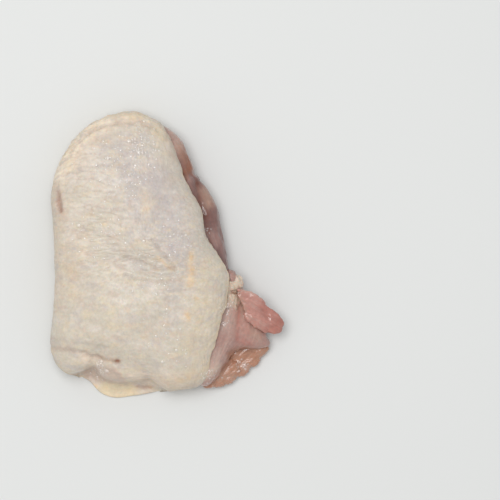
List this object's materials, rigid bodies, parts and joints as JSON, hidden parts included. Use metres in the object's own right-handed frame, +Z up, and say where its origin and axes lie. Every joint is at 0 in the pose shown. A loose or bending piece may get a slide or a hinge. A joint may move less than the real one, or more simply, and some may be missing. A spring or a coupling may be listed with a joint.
{
  "type": "raw chicken thigh",
  "caption": "Boned raw chicken thigh lying skin side up: loose pale skin draped over dark meat, its muscle lobes bare along one side.",
  "frame": {"origin": "on the surface that the thigh lies on, under the middle of its outline", "axes": "+X across the thigh towards the bare meat, +Y along the thigh towards its narrow end, +Z up out of the skin"},
  "size_m": [0.09, 0.1118, 0.0318],
  "materials": {
    "raw_skin": "damp raw poultry skin, cream with a grey-lilac middle and yellower rims, fine pores and wrinkles",
    "raw_meat": "wet raw dark meat, rose to mauve, with pale fat and clear membrane"
  },
  "bodies": {
    "root": {"skin": "raw_skin", "meat": "raw_meat"}
  },
  "joints": []
}
